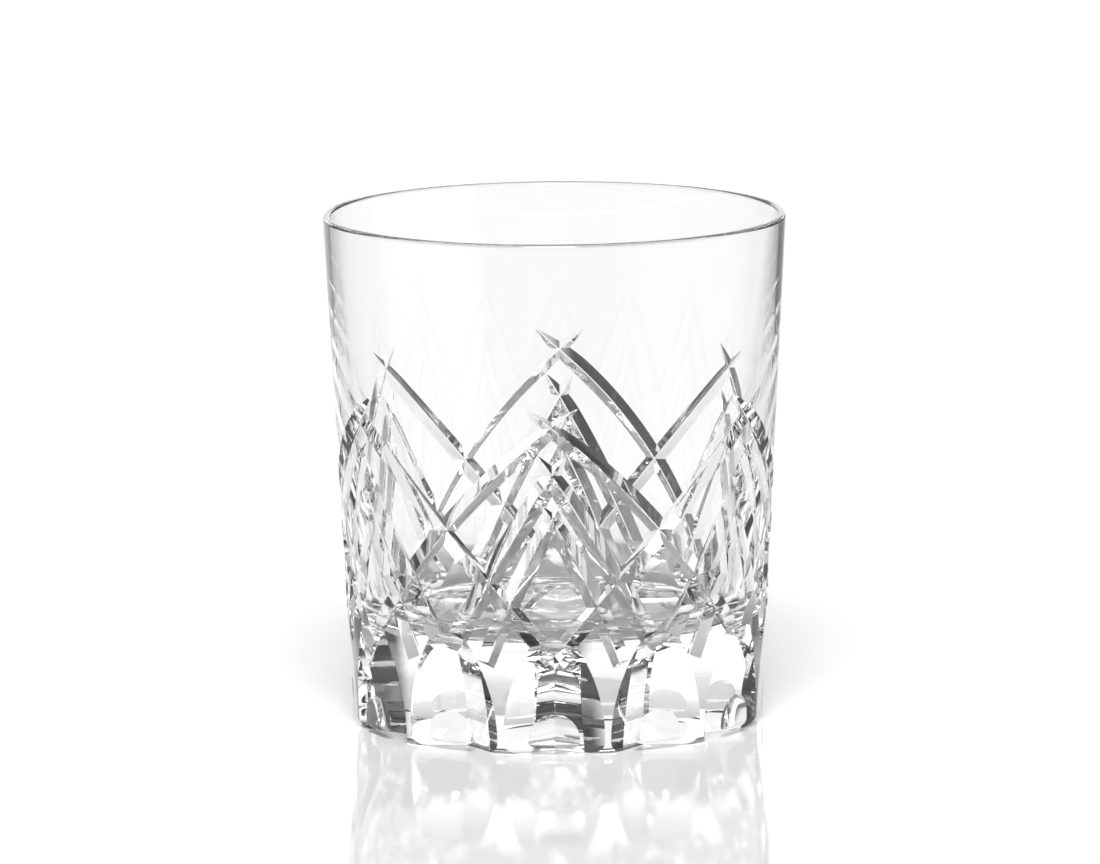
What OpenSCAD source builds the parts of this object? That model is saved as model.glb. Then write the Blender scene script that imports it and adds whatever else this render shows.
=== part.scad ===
// Whiskey tumbler in cut crystal: one solid piece of glass.
// The base stands on z = 0, the axis is +Z, and the front of the pattern faces -Y.
// All lengths are millimetres and all angles are degrees.

/* [Body] */
// Overall height
height = 93; // [88:1:98]
// Outside diameter at the rim
rim_d = 84; // [82:0.5:86]
// Diameter of the outside cone where it meets the table
base_d = 74.4; // [73:0.2:76]
// Wall thickness at the rim
rim_wall = 1.4; // [1.2:0.1:1.8]
// Thickness of the solid base, up to the floor of the cup
floor_z = 19.5; // [18:0.5:21]
// Slope of the inside wall, measured from the vertical
inner_slope = 6.05; // [5.5:0.05:6.5]
// Radius of the rounded corner between the cup's wall and floor
floor_round = 7; // [5:0.5:9]
// Radius of the rounded edge that the glass stands on
foot_round = 2.2; // [1.6:0.2:2.6]

/* [Arches] */
// Height of the tall arch's crossing point
tall_peak = 59.4; // [58:0.2:61]
// Height of the middle arch's crossing point
middle_peak = 50.9; // [50:0.2:52]
// Height of the low arch's crossing point
low_peak = 42.7; // [41.5:0.2:44]
// Width of the tall arch's grooves at the surface
tall_width = 3.5; // [3:0.1:3.9]
// Width of the middle arch's grooves at the surface
middle_width = 4.0; // [3.4:0.1:4.4]
// Width of the low arch's grooves at the surface
low_width = 3.7; // [3.2:0.1:4.1]
// Included angle of every arch groove
groove_angle = 105; // [98:1:112]

/* [Foot flutes] */
// Radius of a flute's valley at the table
valley_foot_r = 31.3; // [31:0.1:31.6]
// Radius of the valley at its gentle bend
valley_bend_r = 32; // [31.8:0.1:32.3]
// Height of the bend
valley_bend_z = 8.7; // [8:0.1:9.4]
// Radius of the valley at its top
valley_top_r = 34.4; // [34.2:0.1:34.8]
// Height of the valley's top, where the shoulder starts
valley_h = 17.5; // [17:0.2:18.4]
// Included angle of a flute
flute_angle = 125; // [122:1:128]
// Slope of the shoulder that ends a flute, measured from the horizontal
shoulder_slope = 43; // [38:1:50]

/* [Hidden] */
$fn = 96;
// The pattern repeats round the glass, and two flutes stand under each repeat.
repeats = 6;
pitch = 360 / repeats;
flutes = 2 * repeats;
// Radii of the outside cone, and how fast it widens with height
rim_r = rim_d / 2;
foot_r = base_d / 2;
flare = (rim_r - foot_r) / height;
// Each leg follows a tilted plane: [slope of the plane, azimuth of its level line,
// azimuth of the leg's point, azimuth of its lower end, azimuth where the tip starts to rise]
tall_leg = [1.128, 52.2, -7, 56.6, 5];
middle_leg = [1.690, 30, -4, 26.6, 3.2];
low_leg = [2.8, 58, -2.7, 18.8, 2.2];
// The tip's cut starts this much deeper than the run, so that the two merge cleanly
tip_overcut = 0.04;
// The tall leg's two arcs overlap by this angle each side of the crossing, the lower one a little deeper
overlap = 0.5;
lower_step = 0.1;
// A tip's arc leads in before the rise and runs on past the point by these fractions of the rise
tip_lead = 0.15;
tip_run_on = 0.12;
// How far the arch cutters stand proud of the surface
proud = 2;
// How far a flute's cutter reaches out from the valley, and the length of its straight runs
flute_reach = 9;
flute_length = 60;

// Depth of a V of the given width, and the radius of the outside cone at a height
function cut_depth(width) = width / 2 / tan(groove_angle / 2);
function cone_r(z) = foot_r + flare * z;
// Height at which a leg's plane meets the outside cone
function leg_z(leg, peak, a) =
    let (k = leg[0], z0 = peak - k * cone_r(peak) * sin(leg[1]), s = sin(leg[1] - a))
    (z0 + k * foot_r * s) / (1 - k * flare * s);
function surface_point(leg, peak, a) =
    let (z = leg_z(leg, peak, a)) [cone_r(z) * cos(a), cone_r(z) * sin(a), z];
// Outward normal of the cone
function surface_normal(a) = let (t = atan(flare)) [cos(t) * cos(a), cos(t) * sin(a), -sin(t)];
function sunk(leg, peak, a, depth) = surface_point(leg, peak, a) - depth * surface_normal(a);
function unit(v) = v / norm(v);

// Centre of the circle through three points
function circle_centre(p, q, r) =
    let (u = q - p, v = r - p, w = cross(u, v))
    p + (cross(w, u) * (v * v) + cross(v, w) * (u * u)) / (2 * (w * w));

// Places a child so that its X, Z axes and origin are the given ones
module placed(x, z, origin) {
    y = cross(z, x);
    multmatrix([
        [x[0], y[0], z[0], origin[0]],
        [x[1], y[1], z[1], origin[1]],
        [x[2], y[2], z[2], origin[2]],
        [0, 0, 0, 1]
    ]) children();
}

// V cut along the arc through three points; its bisector points along n at the middle point
module arc_v(p, q, r, n, depth) {
    c = circle_centre(p, q, r);
    axis = unit(cross(q - p, r - p));
    lean = atan2(n * axis, n * unit(q - c));
    reach = depth + proud;
    placed(unit(p - c), axis, c)
        rotate_extrude(angle = acos(unit(p - c) * unit(r - c)))
            translate([norm(p - c), 0]) rotate(lean)
                polygon([[0, 0],
                    [reach, -reach * tan(groove_angle / 2)],
                    [reach, reach * tan(groove_angle / 2)]]);
}

// Part of a leg between two azimuths, at an even depth
module run_cut(leg, peak, from, to, depth) {
    mid = (from + to) / 2;
    arc_v(sunk(leg, peak, from, depth), sunk(leg, peak, mid, depth), sunk(leg, peak, to, depth),
        surface_normal(mid), depth);
}

// Direction of a run's bisector at its start, so that the tip can carry on from it
function start_bisector(leg, peak, from, to, depth) =
    let (mid = (from + to) / 2,
        p = sunk(leg, peak, from, depth), q = sunk(leg, peak, mid, depth), r = sunk(leg, peak, to, depth),
        c = circle_centre(p, q, r), axis = unit(cross(q - p, r - p)), n = surface_normal(mid),
        lean = atan2(n * axis, n * unit(q - c)))
    cos(lean) * unit(p - c) + sin(lean) * axis;

// A leg's pointed tip, where the cut rises out of the surface: f is 0 at its start and 1 at its point
function tip_point(leg, peak, depth, f) =
    sunk(leg, peak, leg[4] + f * (leg[2] - leg[4]), (depth + tip_overcut) * (1 - f * f));
module tip_cut(leg, peak, depth, n)
    arc_v(tip_point(leg, peak, depth, -tip_lead), tip_point(leg, peak, depth, 0.5),
        tip_point(leg, peak, depth, 1 + tip_run_on), n, depth);

// One leg: the run down to its end, and the pointed tip
module leg_cut(leg, peak, width) {
    depth = cut_depth(width);
    run_cut(leg, peak, leg[4], leg[3], depth);
    tip_cut(leg, peak, depth, start_bisector(leg, peak, leg[4], leg[3], depth));
}

// The tall leg turns round more of the glass, so it takes two runs, which overlap where two legs cross
module tall_leg_cut() {
    depth = cut_depth(tall_width);
    joint = pitch / 2;
    run_cut(tall_leg, tall_peak, tall_leg[4], joint + overlap, depth);
    run_cut(tall_leg, tall_peak, joint - overlap, tall_leg[3], depth + lower_step);
    tip_cut(tall_leg, tall_peak, depth, start_bisector(tall_leg, tall_peak, tall_leg[4], joint + overlap, depth));
}

module arch_legs() {
    tall_leg_cut();
    leg_cut(middle_leg, middle_peak, middle_width);
    leg_cut(low_leg, low_peak, low_width);
}

// Straight V whose valley passes through two points of the XZ plane, given as [radius, height]
module valley_v(low, high) {
    wide = flute_reach * tan(flute_angle / 2);
    translate([low[0], 0, low[1]]) rotate([0, atan2(high[0] - low[0], high[1] - low[1]), 0])
        linear_extrude(flute_length, center = true)
            polygon([[0, 0], [flute_reach, -wide], [flute_reach, wide]]);
}

// Everything above the sloping shoulder that ends a flute
module above_shoulder() {
    translate([valley_top_r, 0, valley_h]) rotate([0, -shoulder_slope, 0])
        translate([-flute_length / 2, -flute_length / 2, 0]) cube(flute_length);
}

// V flute in the foot: deepest at the table, bending outwards, ended above by the shoulder
module flute_cut() {
    foot = [valley_foot_r, 0];
    bend = [valley_bend_r, valley_bend_z];
    top = [valley_top_r, valley_h];
    difference() {
        intersection() {
            valley_v(foot, bend);
            valley_v(bend, top);
        }
        above_shoulder();
    }
}

// Outline of the body in the XZ half plane, with a rounded foot edge and lip
module body_profile() {
    tilt = atan(flare);
    foot_c = foot_r - foot_round * (1 - sin(tilt)) / cos(tilt);
    lip = rim_wall / 2;
    inner_top = rim_r - rim_wall;
    k = tan(inner_slope);
    inner_floor = inner_top - (height - floor_z) * k;
    round_c = inner_floor - floor_round * (1 - sin(inner_slope)) / cos(inner_slope);
    difference() {
        union() {
            polygon([[0, 0], [foot_c, 0],
                [foot_c, foot_round],
                [foot_c + foot_round * cos(tilt), foot_round - foot_round * sin(tilt)],
                [cone_r(height - lip), height - lip],
                [0, height - lip]]);
            translate([foot_c, foot_round]) circle(foot_round);
            translate([cone_r(height - lip) - lip, height - lip]) circle(lip);
        }
        cup_profile(inner_top, inner_floor, round_c, lip);
    }
}

module cup_profile(inner_top, inner_floor, round_c, lip) {
    k = tan(inner_slope);
    top_z = height - lip;
    top_r = cone_r(top_z) - 2 * lip;
    union() {
        polygon([[0, floor_z], [round_c, floor_z],
            [round_c, floor_z + floor_round],
            [round_c + floor_round * cos(inner_slope), floor_z + floor_round - floor_round * sin(inner_slope)],
            [top_r, top_z], [0, top_z]]);
        intersection() {
            translate([round_c, floor_z + floor_round]) circle(floor_round);
            translate([0, floor_z]) square([rim_r, floor_round]);
        }
    }
}

module tumbler() {
    color([0.86, 0.93, 0.95, 0.6])
        difference() {
            rotate_extrude() body_profile();
            rotate([0, 0, -90]) {
                for (i = [0 : repeats - 1]) rotate([0, 0, i * pitch]) {
                    arch_legs();
                    mirror([0, 1, 0]) arch_legs();
                }
                for (i = [0 : flutes - 1]) rotate([0, 0, i * pitch / 2]) flute_cut();
            }
        }
}

tumbler();
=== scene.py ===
import math

import bmesh
import bpy
from mathutils import Matrix, Vector


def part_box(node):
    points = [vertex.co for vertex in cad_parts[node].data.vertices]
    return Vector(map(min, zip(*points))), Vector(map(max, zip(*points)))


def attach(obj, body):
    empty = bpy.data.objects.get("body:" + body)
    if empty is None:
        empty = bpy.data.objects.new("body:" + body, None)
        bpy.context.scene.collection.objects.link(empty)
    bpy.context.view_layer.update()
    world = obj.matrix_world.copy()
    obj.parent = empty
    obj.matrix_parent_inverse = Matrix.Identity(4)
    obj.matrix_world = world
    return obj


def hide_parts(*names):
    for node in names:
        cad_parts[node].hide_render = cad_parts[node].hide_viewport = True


# A cut-crystal tumbler on a glossy white table. Lengths are metres, angles are degrees.
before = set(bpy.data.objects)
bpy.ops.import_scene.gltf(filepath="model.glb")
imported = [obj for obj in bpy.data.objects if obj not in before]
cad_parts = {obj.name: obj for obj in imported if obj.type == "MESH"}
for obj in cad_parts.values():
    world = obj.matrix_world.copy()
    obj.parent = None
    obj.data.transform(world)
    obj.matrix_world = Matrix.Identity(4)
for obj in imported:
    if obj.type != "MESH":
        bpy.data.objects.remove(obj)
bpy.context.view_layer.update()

MM = 0.001
NODE = "tumbler"

# ---------------------------------------------------------------- the glass's dimensions
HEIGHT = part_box(NODE)[1].z
RIM_R = 42.0 * MM
FOOT_R = 37.2 * MM
FLARE = (RIM_R - FOOT_R) / HEIGHT
TILT = math.atan(FLARE)
RIM_WALL = 1.4 * MM
FLOOR_Z = 19.5 * MM
INNER_SLOPE = math.radians(6.05)
FLOOR_ROUND = 7.0 * MM
FOOT_ROUND = 2.2 * MM
# Steps round the glass, and in each rounded corner of its outline
ROUND_STEPS = 720
CORNER_STEPS = 10

REPEATS = 6
PITCH = 360.0 / REPEATS
GROOVE_HALF = math.radians(105.0 / 2)
# Each arch: peak height, groove width, slope of its plane, azimuth of its level line,
# azimuths of the leg's point, lower end and the place where its tip starts to rise, and how far
# the tip turns up by its point
ARCHES = {
    "tall": dict(
        peak=59.4 * MM, width=3.5 * MM, slope=1.128, level=52.2,
        point=-7.0, end=56.6, rise=6.8, turn_up=0.8 * MM),
    "middle": dict(
        peak=50.9 * MM, width=4.0 * MM, slope=1.690, level=30.0,
        point=-4.0, end=26.6, rise=3.5, turn_up=0.0),
    "low": dict(
        peak=42.7 * MM, width=3.7 * MM, slope=2.8, level=58.0,
        point=-2.7, end=18.8, rise=2.4, turn_up=0.0),
}
GROOVE_STEPS = 44
# How far a tip runs on past its point as a share of its length, and how far a cutter stands proud
TIP_RUN_ON = 0.12
PROUD = 1.5 * MM
# Width of the polished line along the bottom of each groove
GROOVE_FLAT = 0.22 * MM

FLUTES = 2 * REPEATS
FLUTE_HALF = math.radians(125.0 / 2)
VALLEY_R = 31.4 * MM
VALLEY_Z = 0.7 * MM
FLUTE_WHEEL_R = 46.0 * MM
VALLEY_H = 17.5 * MM
SHOULDER = math.radians(43.0)
FLUTE_STEPS = 40
# The part of the wheel's arc that each flute follows, and how far its cutter reaches outwards
FLUTE_START = -6.0
FLUTE_SWEEP = 36.0
FLUTE_REACH = 5.6 * MM
# Cut faces that turn by less than this, in degrees, are shaded as one smooth surface
SMOOTH_WITHIN = 9.0


# ---------------------------------------------------------------- the lathed body
def corner(centre, radius, start, stop, steps=CORNER_STEPS):
    """Points and outward normals of a rounded corner, from one angle to another, in radians."""
    points = []
    for i in range(steps + 1):
        a = start + (stop - start) * i / steps
        n = (math.cos(a), math.sin(a))
        points.append(((centre[0] + radius * n[0], centre[1] + radius * n[1]), n))
    return points


def cone_r(z):
    return FOOT_R + FLARE * z


def body_outline():
    """The closed outline in the (radius, height) half plane, as points with outward normals."""
    foot = (FOOT_R - FOOT_ROUND * (1 - math.sin(TILT)) / math.cos(TILT), FOOT_ROUND)
    lip = RIM_WALL / 2
    lip_centre = (cone_r(HEIGHT - lip) - lip, HEIGHT - lip)
    inner_floor = RIM_R - RIM_WALL - (HEIGHT - FLOOR_Z) * math.tan(INNER_SLOPE)
    round_r = inner_floor - FLOOR_ROUND * (1 - math.sin(INNER_SLOPE)) / math.cos(INNER_SLOPE)
    cup = (round_r, FLOOR_Z + FLOOR_ROUND)
    outline = [((0.0, 0.0), (0.0, -1.0))]
    outline += corner(foot, FOOT_ROUND, -math.pi / 2, -TILT)
    outline += corner(lip_centre, lip, -TILT, 0.0, 1)
    outline += corner(lip_centre, lip, 0.0, math.pi / 2)[1:]
    outline += corner(lip_centre, lip, math.pi / 2, math.pi - INNER_SLOPE)[1:]
    # The cup's corner is hollow, so its outward normals point to its centre
    for point, n in corner(cup, FLOOR_ROUND, -INNER_SLOPE, -math.pi / 2):
        outline.append((point, (-n[0], -n[1])))
    outline.append(((0.0, FLOOR_Z), (0.0, 1.0)))
    return outline


def lathe(outline, steps):
    """A closed mesh turned round the Z axis from an outline that starts and ends on it."""
    bm = bmesh.new()
    rings = []
    for (r, z), _ in outline:
        if r < 1e-9:
            rings.append([bm.verts.new((0, 0, z))])
            continue
        rings.append([
            bm.verts.new((r * math.cos(a), r * math.sin(a), z))
            for a in (2 * math.pi * i / steps for i in range(steps))
        ])
    for low, high in zip(rings, rings[1:]):
        for i in range(steps):
            j = (i + 1) % steps
            quad = [low[i % len(low)], low[j % len(low)], high[j % len(high)], high[i % len(high)]]
            corners = list(dict.fromkeys(quad))
            if len(corners) > 2:
                bm.faces.new(corners)
    return bm


# ---------------------------------------------------------------- the cuts
def tip_share(leg, azimuth):
    """0 where the leg's tip starts to rise, 1 at its point, and below 0 along the rest of the leg."""
    return (azimuth - leg["rise"]) / (leg["point"] - leg["rise"])


def leg_height(leg, azimuth):
    """Height at which a leg's tilted plane meets the outside cone, with its tip turned up."""
    start = leg["peak"] - leg["slope"] * cone_r(leg["peak"]) * math.sin(math.radians(leg["level"]))
    s = math.sin(math.radians(leg["level"] - azimuth))
    on_plane = (start + leg["slope"] * FOOT_R * s) / (1 - leg["slope"] * FLARE * s)
    return on_plane + leg["turn_up"] * max(tip_share(leg, azimuth), 0) ** 3


def cone_point(leg, azimuth):
    z = leg_height(leg, azimuth)
    a = math.radians(azimuth)
    return Vector((cone_r(z) * math.cos(a), cone_r(z) * math.sin(a), z))


def cone_normal(azimuth):
    a = math.radians(azimuth)
    return Vector((math.cos(TILT) * math.cos(a), math.cos(TILT) * math.sin(a), -math.sin(TILT)))


def groove_rings(leg):
    """Cross-sections of one leg's cutter: a V with a narrow flat bottom, square to the surface."""
    depth = leg["width"] / 2 / math.tan(GROOVE_HALF)
    reach = depth + PROUD
    spread = math.tan(GROOVE_HALF)
    flat_up = GROOVE_FLAT / 2 / spread
    rise, point, end = leg["rise"], leg["point"], leg["end"]
    last = point + (point - rise) * TIP_RUN_ON
    rings = []
    for i in range(GROOVE_STEPS + 1):
        azimuth = last + (end - last) * i / GROOVE_STEPS
        f = tip_share(leg, azimuth)
        sunk = depth * (1 - f * f) if f > 0 else depth
        n = cone_normal(azimuth)
        along = (cone_point(leg, azimuth + 0.05) - cone_point(leg, azimuth - 0.05)).normalized()
        side = along.cross(n).normalized()
        apex = cone_point(leg, azimuth) - sunk * n
        bottom = apex + flat_up * n
        top = apex + reach * n
        rings.append([
            top - reach * spread * side,
            bottom - GROOVE_FLAT / 2 * side,
            bottom + GROOVE_FLAT / 2 * side,
            top + reach * spread * side,
        ])
    return rings


def flute_rings():
    """Cross-sections of a foot flute's cutter: a V that follows a wheel's arc."""
    spread = math.tan(FLUTE_HALF)
    centre = Vector((VALLEY_R + FLUTE_WHEEL_R, 0, VALLEY_Z))
    rings = []
    for i in range(FLUTE_STEPS + 1):
        a = math.radians(FLUTE_START + FLUTE_SWEEP * i / FLUTE_STEPS)
        inward = Vector((-math.cos(a), 0, math.sin(a)))
        apex = centre + FLUTE_WHEEL_R * inward
        top = apex - FLUTE_REACH * inward
        aside = Vector((0, FLUTE_REACH * spread, 0))
        rings.append([top - aside, apex, top + aside])
    return rings


def skin(rings):
    """A closed mesh over a list of equal cross-sections."""
    bm = bmesh.new()
    loops = [[bm.verts.new(p) for p in ring] for ring in rings]
    count = len(rings[0])
    for low, high in zip(loops, loops[1:]):
        for i in range(count):
            j = (i + 1) % count
            bm.faces.new([low[i], low[j], high[j], high[i]])
    bm.faces.new(list(reversed(loops[0])))
    bm.faces.new(loops[-1])
    bmesh.ops.recalc_face_normals(bm, faces=bm.faces)
    return bm


def shoulder_cut(bm):
    """Ends a flute's cutter at the sloping shoulder."""
    top_r = VALLEY_R + (VALLEY_H - VALLEY_Z) ** 2 / (2 * FLUTE_WHEEL_R)
    plane = Vector((-math.sin(SHOULDER), 0, math.cos(SHOULDER)))
    geometry = bm.verts[:] + bm.edges[:] + bm.faces[:]
    cut = bmesh.ops.bisect_plane(
        bm, geom=geometry, plane_co=Vector((top_r, 0, VALLEY_H)), plane_no=plane, clear_outer=True)
    edges = [e for e in cut["geom_cut"] if isinstance(e, bmesh.types.BMEdge)]
    bmesh.ops.contextual_create(bm, geom=edges)
    bmesh.ops.recalc_face_normals(bm, faces=bm.faces)
    return bm


def cutter(bm, turns, mirrored=False):
    """Copies one cutter round the glass at the given azimuths, as one object."""
    source = bpy.data.meshes.new("cut_source")
    bm.to_mesh(source)
    whole = bmesh.new()
    for azimuth in turns:
        copy = source.copy()
        matrix = Matrix.Rotation(math.radians(azimuth - 90), 4, "Z")
        if mirrored:
            matrix = matrix @ Matrix.Scale(-1, 4, (0, 1, 0))
        copy.transform(matrix)
        whole.from_mesh(copy)
        bpy.data.meshes.remove(copy)
    if mirrored:
        bmesh.ops.reverse_faces(whole, faces=whole.faces)
    for face in whole.faces:
        face.material_index = 1
    mesh = bpy.data.meshes.new("cut")
    for material in glass_materials:
        mesh.materials.append(material)
    whole.to_mesh(mesh)
    whole.free()
    bm.free()
    bpy.data.meshes.remove(source)
    return bpy.data.objects.new("cut", mesh)


def all_cutters():
    turns = [i * PITCH for i in range(REPEATS)]
    cutters = []
    for leg in ARCHES.values():
        for mirrored in (False, True):
            cutters.append(cutter(skin(groove_rings(leg)), turns, mirrored))
    for start in (0, 1):
        turns = [360.0 * i / FLUTES for i in range(start, FLUTES, 2)]
        cutters.append(cutter(shoulder_cut(skin(flute_rings())), turns))
    return cutters


def subtract(target, tool):
    bpy.context.scene.collection.objects.link(tool)
    cut = target.modifiers.new("cut", "BOOLEAN")
    cut.operation = "DIFFERENCE"
    cut.solver = "MANIFOLD"
    cut.object = tool
    evaluated = target.evaluated_get(bpy.context.evaluated_depsgraph_get())
    mesh = bpy.data.meshes.new_from_object(evaluated)
    target.modifiers.clear()
    old = target.data
    target.data = mesh
    bpy.data.meshes.remove(old)
    spare = tool.data
    bpy.data.objects.remove(tool)
    bpy.data.meshes.remove(spare)


# ---------------------------------------------------------------- shading normals
def outline_normal(outline, point):
    """Outward normal of the turned body at a point on it, from the nearest stretch of its outline."""
    r, z = math.hypot(point.x, point.y), point.z
    best = None
    for (p, n), (q, m) in zip(outline, outline[1:]):
        dr, dz = q[0] - p[0], q[1] - p[1]
        length = dr * dr + dz * dz
        t = 0.0 if length == 0 else min(max(((r - p[0]) * dr + (z - p[1]) * dz) / length, 0), 1)
        gap = (p[0] + t * dr - r) ** 2 + (p[1] + t * dz - z) ** 2
        if best is None or gap < best[0]:
            best = (gap, n[0] + t * (m[0] - n[0]), n[1] + t * (m[1] - n[1]))
    out, up = best[1], best[2]
    if r < 1e-9:
        return Vector((0, 0, math.copysign(1, up)))
    return Vector((out * point.x / r, out * point.y / r, up)).normalized()


def shade(mesh, outline):
    """Body faces take the outline's exact normals; cut faces are smooth along each cut only."""
    smooth_within = math.cos(math.radians(SMOOTH_WITHIN))
    at_vertex = [[] for _ in mesh.vertices]
    for face in mesh.polygons:
        for v in face.vertices:
            at_vertex[v].append(face.index)
    face_normals = [f.normal.copy() for f in mesh.polygons]
    areas = [f.area for f in mesh.polygons]
    kinds = [f.material_index for f in mesh.polygons]
    body_normal = {}
    normals = []
    for face in mesh.polygons:
        for v in face.vertices:
            if kinds[face.index] == 0:
                if v not in body_normal:
                    body_normal[v] = outline_normal(outline, mesh.vertices[v].co)
                normals.append(body_normal[v])
                continue
            total = Vector((0, 0, 0))
            for other in at_vertex[v]:
                if kinds[other] and face_normals[other].dot(face_normals[face.index]) > smooth_within:
                    total += face_normals[other] * areas[other]
            normals.append(total.normalized() if total.length > 0 else face_normals[face.index])
    mesh.normals_split_custom_set(normals)


# ---------------------------------------------------------------- materials
def crystal(name, roughness, ripple):
    """Clear polished crystal, with faint uneven polish over it."""
    material = bpy.data.materials.new(name)
    material.use_nodes = True
    nodes, links = material.node_tree.nodes, material.node_tree.links
    shader = nodes["Principled BSDF"]
    shader.inputs["Base Color"].default_value = (0.985, 0.99, 0.99, 1)
    shader.inputs["IOR"].default_value = 1.545
    shader.inputs["Transmission Weight"].default_value = 1.0
    place = nodes.new("ShaderNodeTexCoord")
    polish = nodes.new("ShaderNodeTexNoise")
    polish.inputs["Scale"].default_value = 160
    polish.inputs["Detail"].default_value = 4
    spread = nodes.new("ShaderNodeMapRange")
    spread.inputs["To Min"].default_value = roughness[0]
    spread.inputs["To Max"].default_value = roughness[1]
    waves = nodes.new("ShaderNodeTexNoise")
    waves.inputs["Scale"].default_value = 55
    waves.inputs["Detail"].default_value = 1
    bump = nodes.new("ShaderNodeBump")
    bump.inputs["Strength"].default_value = ripple
    bump.inputs["Distance"].default_value = 0.0004
    links.new(place.outputs["Object"], polish.inputs["Vector"])
    links.new(place.outputs["Object"], waves.inputs["Vector"])
    links.new(polish.outputs["Fac"], spread.inputs["Value"])
    links.new(spread.outputs["Result"], shader.inputs["Roughness"])
    links.new(waves.outputs["Fac"], bump.inputs["Height"])
    links.new(bump.outputs["Normal"], shader.inputs["Normal"])
    return material


def table_top():
    """Plain glossy white acrylic, with a faint haze in its polish."""
    material = bpy.data.materials.new("table_top")
    material.use_nodes = True
    nodes, links = material.node_tree.nodes, material.node_tree.links
    shader = nodes["Principled BSDF"]
    shader.inputs["Base Color"].default_value = (0.85, 0.85, 0.85, 1)
    shader.inputs["IOR"].default_value = 1.5
    place = nodes.new("ShaderNodeTexCoord")
    haze = nodes.new("ShaderNodeTexNoise")
    haze.inputs["Scale"].default_value = 12
    spread = nodes.new("ShaderNodeMapRange")
    spread.inputs["To Min"].default_value = 0.05
    spread.inputs["To Max"].default_value = 0.08
    links.new(place.outputs["Object"], haze.inputs["Vector"])
    links.new(haze.outputs["Fac"], spread.inputs["Value"])
    links.new(spread.outputs["Result"], shader.inputs["Roughness"])
    return material


# ---------------------------------------------------------------- the glass
glass_materials = (crystal("crystal_wall", (0.0, 0.012), 0.02), crystal("crystal_cuts", (0.0, 0.02), 0.05))
outline = body_outline()
body_mesh = bpy.data.meshes.new("tumbler_glass")
for material in glass_materials:
    body_mesh.materials.append(material)
turned = lathe(outline, ROUND_STEPS)
bmesh.ops.recalc_face_normals(turned, faces=turned.faces)
turned.to_mesh(body_mesh)
turned.free()
glass = bpy.data.objects.new("tumbler_glass", body_mesh)
bpy.context.scene.collection.objects.link(glass)
for tool in all_cutters():
    subtract(glass, tool)
for face in glass.data.polygons:
    face.use_smooth = True
shade(glass.data, outline)
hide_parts(NODE)
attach(glass, "root")


# ---------------------------------------------------------------- table and light
def table():
    bm = bmesh.new()
    bmesh.ops.create_circle(bm, cap_ends=True, segments=128, radius=6.0)
    mesh = bpy.data.meshes.new("table")
    bm.to_mesh(mesh)
    bm.free()
    plane = bpy.data.objects.new("table", mesh)
    plane.location.z = -0.05 * MM
    mesh.materials.append(table_top())
    bpy.context.scene.collection.objects.link(plane)


def smooth(tree, value, start, stop):
    """0 where the value is below start, 1 where it is above stop, eased in between."""
    node = tree.nodes.new("ShaderNodeMapRange")
    node.interpolation_type = "SMOOTHSTEP"
    node.inputs["From Min"].default_value = min(start, stop)
    node.inputs["From Max"].default_value = max(start, stop)
    node.inputs["To Min"].default_value = 0.0 if start < stop else 1.0
    node.inputs["To Max"].default_value = 1.0 if start < stop else 0.0
    tree.links.new(value, node.inputs["Value"])
    return node.outputs["Result"]


def math_node(tree, operation, *values):
    node = tree.nodes.new("ShaderNodeMath")
    node.operation = operation
    for socket, value in zip(node.inputs, values):
        if isinstance(value, (int, float)):
            socket.default_value = value
        else:
            tree.links.new(value, socket)
    return node.outputs[0]


# What surrounds the table, in degrees: azimuth of the middle (0 is straight behind the glass and
# positive is to the right), half width, bottom and top edges, how soft they are, and the brightness
ROOM = 0.03
PANELS = {
    "backdrop": dict(middle=-10, half=22, bottom=-20, top=17, soft=5, light=1.05),
    "right_reflector": dict(middle=103, half=34, bottom=-20, top=20, soft=8, light=1.1),
    "ceiling": dict(middle=180, half=90, bottom=42, top=72, soft=6, light=1.4),
}


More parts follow.
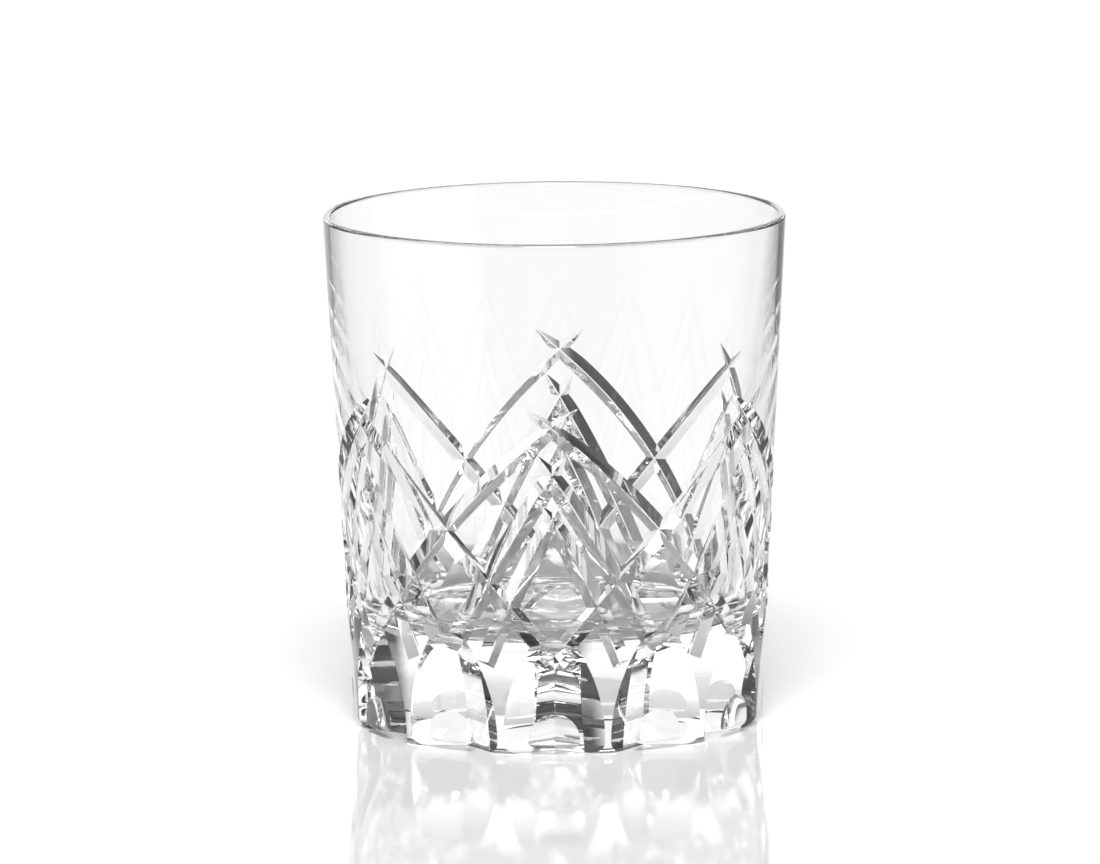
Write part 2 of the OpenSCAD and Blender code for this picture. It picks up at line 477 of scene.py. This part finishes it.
def studio():
    """A bright backdrop behind the glass, a reflector on its right, a lit ceiling and a dark room."""
    world = bpy.data.worlds.new("studio")
    bpy.context.scene.world = world
    world.use_nodes = True
    tree = world.node_tree
    background = tree.nodes["Background"]
    place = tree.nodes.new("ShaderNodeTexCoord")
    axes = tree.nodes.new("ShaderNodeSeparateXYZ")
    tree.links.new(place.outputs["Generated"], axes.inputs["Vector"])
    azimuth = math_node(tree, "ARCTAN2", axes.outputs["X"], axes.outputs["Y"])
    elevation = math_node(tree, "ARCSINE", axes.outputs["Z"])
    light = ROOM
    for panel in PANELS.values():
        middle, half, bottom, top, soft = (
            math.radians(panel[k]) for k in ("middle", "half", "bottom", "top", "soft"))
        turned = math_node(tree, "SUBTRACT", azimuth, middle)
        aside = math_node(tree, "ABSOLUTE", math_node(tree, "WRAP", turned, math.pi, -math.pi))
        across = smooth(tree, aside, half + soft / 2, half - soft / 2)
        above = smooth(tree, elevation, bottom - soft / 2, bottom + soft / 2)
        below = smooth(tree, elevation, top + soft / 2, top - soft / 2)
        whole = math_node(tree, "MULTIPLY", across, math_node(tree, "MULTIPLY", above, below))
        light = math_node(tree, "ADD", light, math_node(tree, "MULTIPLY", whole, panel["light"]))
    tree.links.new(light, background.inputs["Color"])


# The key light: how far it leans from straight above towards the front, its width and its power
KEY_LEAN = 46.0
KEY_WIDTH = 24.0
KEY_POWER = 3.8


def key_light():
    """A soft lamp above and in front of the glass, so that its shadow falls behind it."""
    data = bpy.data.lights.new("key", "SUN")
    data.energy = KEY_POWER
    data.angle = math.radians(KEY_WIDTH)
    lamp = bpy.data.objects.new("key", data)
    lamp.rotation_euler = (math.radians(KEY_LEAN), 0, 0)
    bpy.context.scene.collection.objects.link(lamp)


# The camera: its lens and sensor in millimetres, the direction it looks from in degrees, how far
# and how high it stands, the point it looks at, and its slight roll in degrees
LENS = 346.6
SENSOR = 36.0
CAMERA_AZIMUTH = 1.15
CAMERA_DISTANCE = 1.9
CAMERA_HEIGHT = 0.360
CAMERA_TARGET = Vector((-0.00108, 0, 0.05268))
CAMERA_ROLL = -0.44


def camera():
    """A long lens from well above the rim, as a product photographer would stand."""
    data = bpy.data.cameras.new("camera")
    data.sensor_width = SENSOR
    data.lens = LENS
    eye = bpy.data.objects.new("camera", data)
    azimuth = math.radians(CAMERA_AZIMUTH)
    eye.location = Vector(
        (CAMERA_DISTANCE * math.sin(azimuth), -CAMERA_DISTANCE * math.cos(azimuth), CAMERA_HEIGHT))
    turn = (CAMERA_TARGET - eye.location).to_track_quat("-Z", "Y").to_matrix().to_4x4()
    roll = Matrix.Rotation(math.radians(CAMERA_ROLL), 4, "Z")
    eye.matrix_world = Matrix.Translation(eye.location) @ turn @ roll
    bpy.context.scene.collection.objects.link(eye)
    bpy.context.scene.camera = eye


table()
studio()
key_light()
camera()
scene = bpy.context.scene
scene.view_settings.view_transform = "Standard"
scene.cycles.max_bounces = 32
scene.cycles.transmission_bounces = 32
scene.cycles.glossy_bounces = 16
